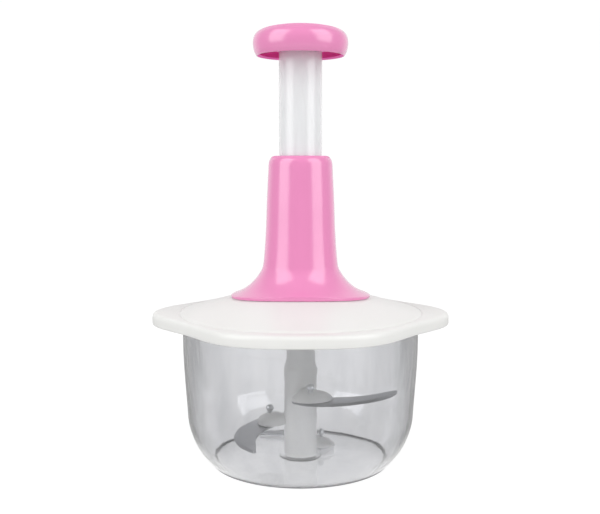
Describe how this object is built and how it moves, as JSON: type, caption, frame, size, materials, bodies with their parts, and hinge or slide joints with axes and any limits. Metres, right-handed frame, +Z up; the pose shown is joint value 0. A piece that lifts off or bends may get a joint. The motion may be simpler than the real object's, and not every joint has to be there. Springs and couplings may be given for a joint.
{
  "type": "manual food chopper",
  "caption": "Hand-pressed food chopper: a clear bowl with curved blades on a hollow shaft, turned by pushing the plunger through the lid's handle.",
  "frame": {"origin": "middle of the bowl's foot, on the surface that it stands on", "axes": "+Z up along the plunger, +X towards the lid's right ear, +Y towards the back"},
  "size_m": [0.1774, 0.162, 0.2599],
  "materials": {
    "pink_plastic": "satin-gloss moulded polypropylene",
    "white_plastic": "smooth moulded polypropylene",
    "plunger_plastic": "milky half-clear plastic",
    "clear_plastic": "clear moulded plastic",
    "inner_plastic": "plain moulded acetal",
    "blade_steel": "fine-ground stainless sheet",
    "bright_steel": "turned or drawn steel",
    "silicone": "matt translucent silicone"
  },
  "bodies": {
    "bowl": {"bowl": "clear_plastic", "centre_pin": "bright_steel"},
    "lid": {"lid": "white_plastic", "lid_gasket": "silicone", "clutch_cover": "white_plastic", "handle": "pink_plastic", "guide_bush": "inner_plastic", "rod_bush": "inner_plastic", "spring_seat": "bright_steel", "return_spring": "bright_steel", "cover_screw_1": "bright_steel", "cover_screw_2": "bright_steel", "cover_screw_3": "bright_steel", "handle_screw_1": "bright_steel", "handle_screw_2": "bright_steel", "handle_screw_3": "bright_steel"},
    "plunger": {"plunger_tube": "plunger_plastic", "spiral_nut": "inner_plastic", "push_cap": "pink_plastic", "cap_screw": "bright_steel", "nut_pin_right": "bright_steel", "nut_pin_left": "bright_steel"},
    "drive": {"spiral_rod": "bright_steel", "rod_clip": "bright_steel", "clutch_driver": "inner_plastic", "clutch_spring": "bright_steel"},
    "output": {"clutch_output": "inner_plastic"},
    "rotor": {"rotor_tube": "white_plastic", "rotor_pin_bush": "inner_plastic", "blade_top": "blade_steel", "blade_middle": "blade_steel", "blade_bottom": "blade_steel", "blade_stud_top": "bright_steel", "blade_stud_middle": "bright_steel", "blade_stud_bottom": "bright_steel"}
  },
  "joints": [
    {"name": "lid_lift", "type": "slide", "parent": "bowl", "child": "lid", "axis": [0, 0, 1], "range_m": [0, 0.05]},
    {"name": "plunger_slide", "type": "slide", "parent": "lid", "child": "plunger", "axis": [0, 0, -1], "range_m": [0, 0.048], "stiffness_N_per_m": 150, "springref_m": -0.02, "deforming": ["return_spring"]},
    {"name": "rod_spin", "type": "hinge", "parent": "lid", "child": "drive", "pos_m": [0, 0, 0.1], "axis": [0, 0, 1], "range_deg": [-410, 1]},
    {"name": "output_spin", "type": "hinge", "parent": "lid", "child": "output", "pos_m": [0, 0, 0.08], "axis": [0, 0, 1], "range_deg": [-410, 1]},
    {"name": "rotor_spin", "type": "hinge", "parent": "bowl", "child": "rotor", "pos_m": [0, 0, 0.03], "axis": [0, 0, 1], "range_deg": [-410, 1]}
  ],
  "couplings": [
    {"joint": "rod_spin", "follows": "plunger_slide", "rad_per_m": -139.63},
    {"joint": "output_spin", "follows": "plunger_slide", "rad_per_m": -139.63},
    {"joint": "rotor_spin", "follows": "plunger_slide", "rad_per_m": -139.63}
  ]
}
